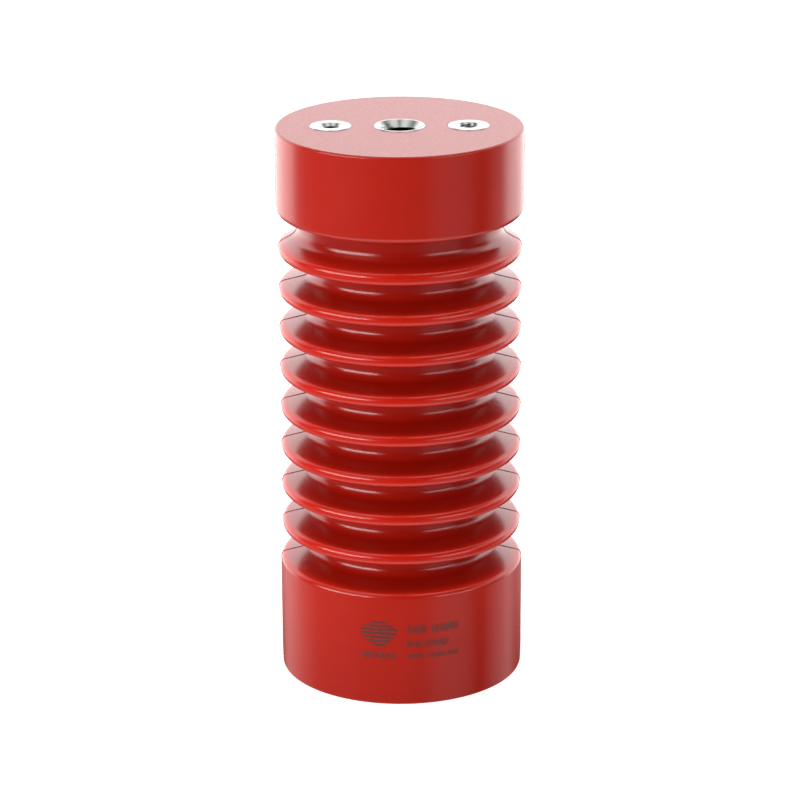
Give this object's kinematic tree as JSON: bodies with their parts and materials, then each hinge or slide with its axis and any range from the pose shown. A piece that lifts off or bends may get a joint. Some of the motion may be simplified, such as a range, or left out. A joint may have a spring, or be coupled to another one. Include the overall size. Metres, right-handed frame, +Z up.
{
  "type": "post insulator",
  "caption": "Upright cast resin post insulator: ribbed sheds between two plain end blocks, with threaded metal inserts in both end faces.",
  "frame": {"origin": "centre of the foot, on the surface that the part stands on", "axes": "+Z up along the insulator's axis, +X along the line of the three threaded inserts of each end, -Y towards the printed side"},
  "size_m": [0.1308, 0.13, 0.3],
  "materials": {
    "epoxy_red": "satin-gloss cast epoxy resin, oxide red all through",
    "plated_steel": "fine turned, bright plated"
  },
  "bodies": {
    "root": {"resin_body": "epoxy_red", "top_centre_insert": "plated_steel", "top_left_insert": "plated_steel", "top_right_insert": "plated_steel", "bottom_centre_insert": "plated_steel", "bottom_left_insert": "plated_steel", "bottom_right_insert": "plated_steel"}
  },
  "joints": []
}
